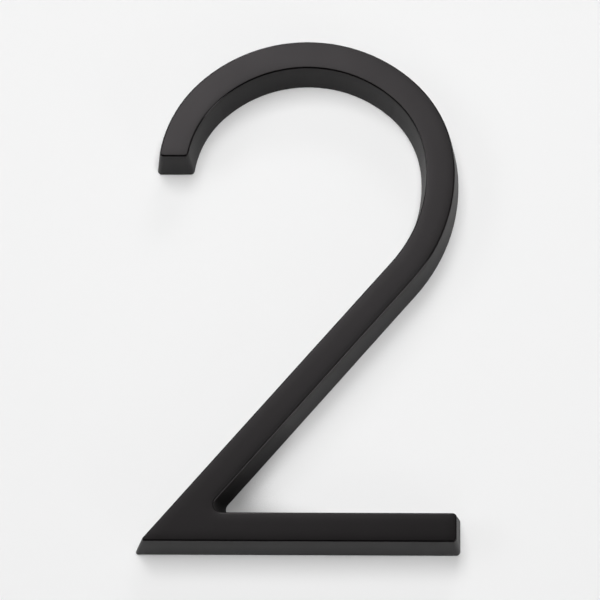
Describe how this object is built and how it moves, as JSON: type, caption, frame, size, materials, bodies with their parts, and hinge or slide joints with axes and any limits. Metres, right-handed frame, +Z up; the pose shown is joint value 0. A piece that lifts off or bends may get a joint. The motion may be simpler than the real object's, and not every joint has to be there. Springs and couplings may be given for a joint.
{
  "type": "house number",
  "caption": "House number in the shape of a figure two: one solid cast stroke with sloped sides, rounded rims, a flat back and blind tapped holes for hidden wall studs.",
  "frame": {"origin": "mouth of the lower stud hole in the back face, at the middle of the base's stroke", "axes": "+Z up along the numeral's height, +X to the right as read, +Y into the wall; the front face looks along -Y"},
  "size_m": [0.0918, 0.0127, 0.1523],
  "materials": {
    "black_paint": "satin black paint over cast metal"
  },
  "bodies": {
    "root": {"numeral": "black_paint"}
  },
  "joints": []
}
